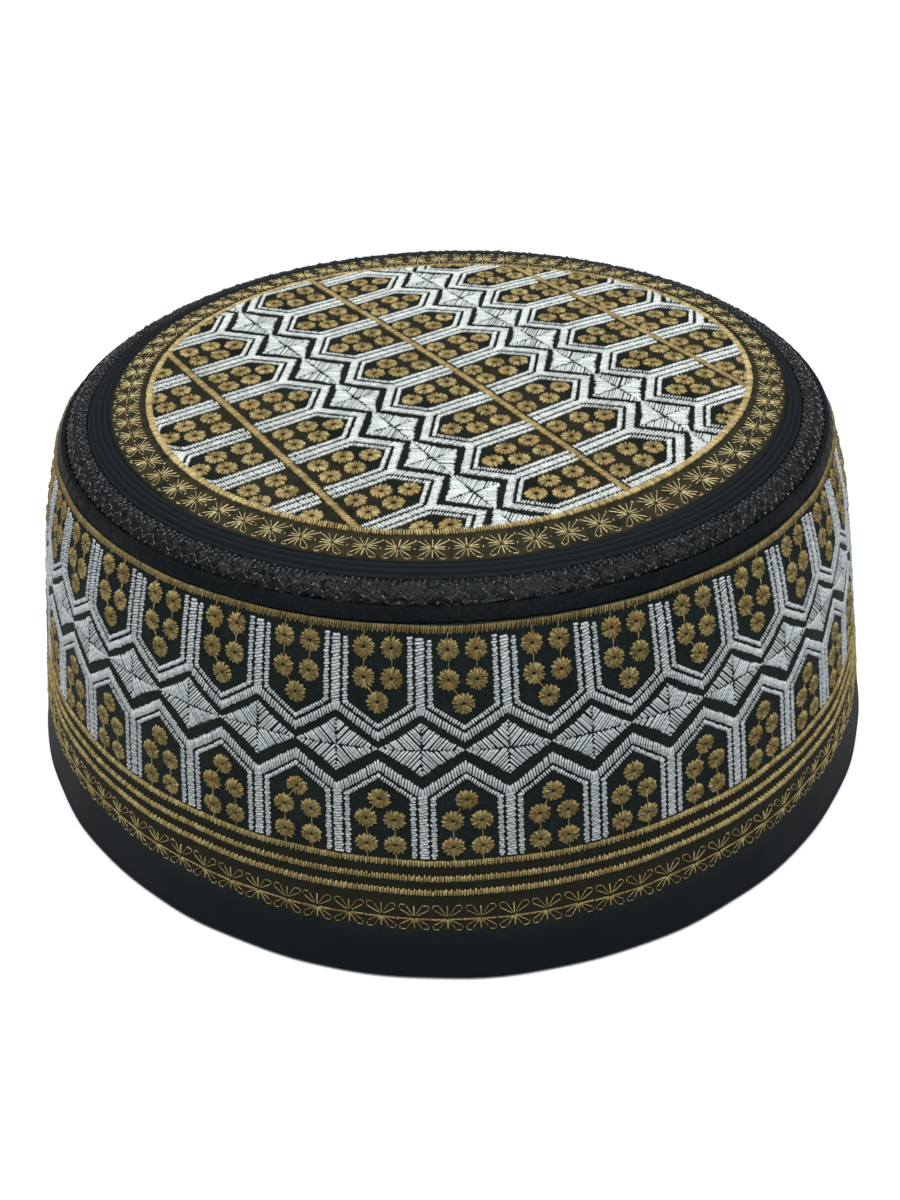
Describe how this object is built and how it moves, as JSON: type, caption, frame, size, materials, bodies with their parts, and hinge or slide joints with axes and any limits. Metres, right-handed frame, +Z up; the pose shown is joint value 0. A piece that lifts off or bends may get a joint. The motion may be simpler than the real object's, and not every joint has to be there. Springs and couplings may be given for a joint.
{
  "type": "kufi",
  "caption": "Round brimless cap with a flared side band, padded shoulder and nearly flat crown, open underneath for the head, standing on its hem.",
  "frame": {"origin": "middle of the hem, on the surface that the cap stands on", "axes": "+Z up through the middle of the crown; -Y is the side that faced the camera"},
  "size_m": [0.186, 0.186, 0.0719],
  "materials": {
    "band_cloth": "black stiffened satin, densely embroidered",
    "rim_cloth": "smooth black satin",
    "shoulder_cloth": "black satin, quilted with shiny black thread",
    "crown_cloth": "black stiffened satin, densely embroidered"
  },
  "bodies": {
    "root": {"side_band": "band_cloth", "rim_strip": "rim_cloth", "shoulder_roll": "shoulder_cloth", "crown_panel": "crown_cloth"}
  },
  "joints": []
}
